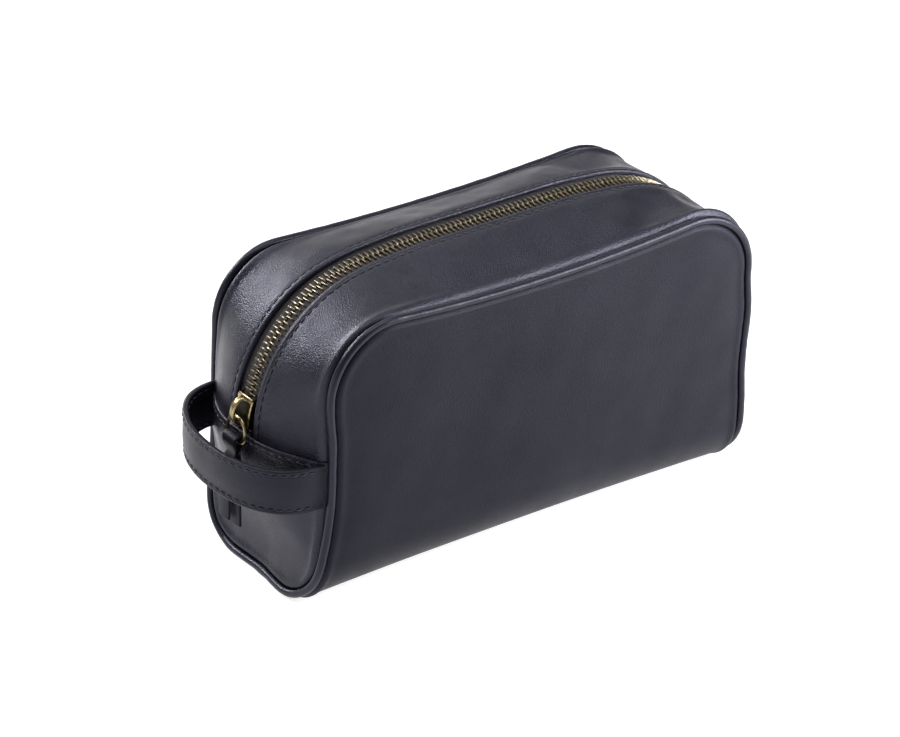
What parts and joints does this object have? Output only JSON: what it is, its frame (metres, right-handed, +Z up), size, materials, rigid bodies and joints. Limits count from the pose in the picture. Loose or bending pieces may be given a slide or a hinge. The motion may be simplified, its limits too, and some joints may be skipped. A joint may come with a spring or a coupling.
{
  "type": "wash bag",
  "caption": "Boxy leather wash bag for shaving kit, with a metal zip over the top, piped seams, a leather zip pull and a side hand strap.",
  "frame": {"origin": "centre of the flat base, on the surface that the bag stands on", "axes": "+X along the bag away from the hand strap, -Y the front face, +Z up"},
  "size_m": [0.3178, 0.1022, 0.1614],
  "materials": {
    "leather": "smooth navy-black, semi-gloss",
    "strap_leather": "smooth navy-black with painted edges",
    "lining": "woven twill, matt",
    "zip_tape": "woven, matt",
    "zip_brass": "antiqued, worn bright on the edges",
    "cord": "twisted cotton",
    "board": "plain fibreboard"
  },
  "bodies": {
    "slider": {"slider_body": "zip_brass", "slider_bridge": "zip_brass"},
    "ring": {"pull_ring": "zip_brass"},
    "pull": {"leather_pull": "strap_leather"},
    "strap": {"strap_inner_ply": "strap_leather", "strap_outer_ply": "strap_leather"},
    "front_flap": {"front_gusset_flap": "leather", "front_lining_gusset_flap": "leather", "zip_tape_front_top": "zip_tape", "zip_teeth_front_top": "zip_brass"},
    "back_flap": {"back_gusset_flap": "leather", "back_lining_gusset_flap": "leather", "zip_tape_back_top": "zip_tape", "zip_teeth_back_top": "zip_brass"},
    "root": {"back_gusset": "leather", "back_lining_gusset": "leather", "base_board": "board", "body_panel": "leather", "front_gusset": "leather", "front_lining_gusset": "leather", "left_end_panel": "leather", "lining_body": "lining", "lining_left_end": "lining", "lining_right_end": "lining", "piping_core": "cord", "piping_cover": "strap_leather", "right_end_panel": "leather", "strap_back_end": "strap_leather", "strap_front_end": "strap_leather", "zip_closed_stops": "zip_brass", "zip_open_stop": "zip_brass", "zip_tape_back_left": "zip_tape", "zip_tape_back_right": "zip_tape", "zip_tape_front_left": "zip_tape", "zip_tape_front_right": "zip_tape", "zip_teeth_back_left": "zip_brass", "zip_teeth_back_right": "zip_brass", "zip_teeth_front_left": "zip_brass", "zip_teeth_front_right": "zip_brass"}
  },
  "joints": [
    {"name": "slider_travel", "type": "hinge", "parent": "root", "child": "slider", "pos_m": [-0.0735, 0, 0.088], "axis": [0, 1, 0], "range_deg": [0, 65]},
    {"name": "ring_swing", "type": "hinge", "parent": "slider", "child": "ring", "pos_m": [-0.1502, 0, 0.0934], "axis": [0, 1, 0], "range_deg": [0, 12]},
    {"name": "pull_swing", "type": "hinge", "parent": "ring", "child": "pull", "pos_m": [-0.15219, 0, 0.07924], "axis": [0, 1, 0], "range_deg": [-2, 8]},
    {"name": "strap_flex", "type": "hinge", "parent": "root", "child": "strap", "pos_m": [-0.134, 0, 0.07175], "axis": [0, 1, 0], "range_deg": [-15, 18], "stiffness_Nm_per_rad": 0.15},
    {"name": "front_mouth_fold", "type": "hinge", "parent": "root", "child": "front_flap", "pos_m": [0, -0.046, 0.1478], "axis": [1, 0, 0], "range_deg": [0, 50]},
    {"name": "back_mouth_fold", "type": "hinge", "parent": "root", "child": "back_flap", "pos_m": [0, 0.046, 0.1478], "axis": [-1, 0, 0], "range_deg": [0, 50]}
  ]
}
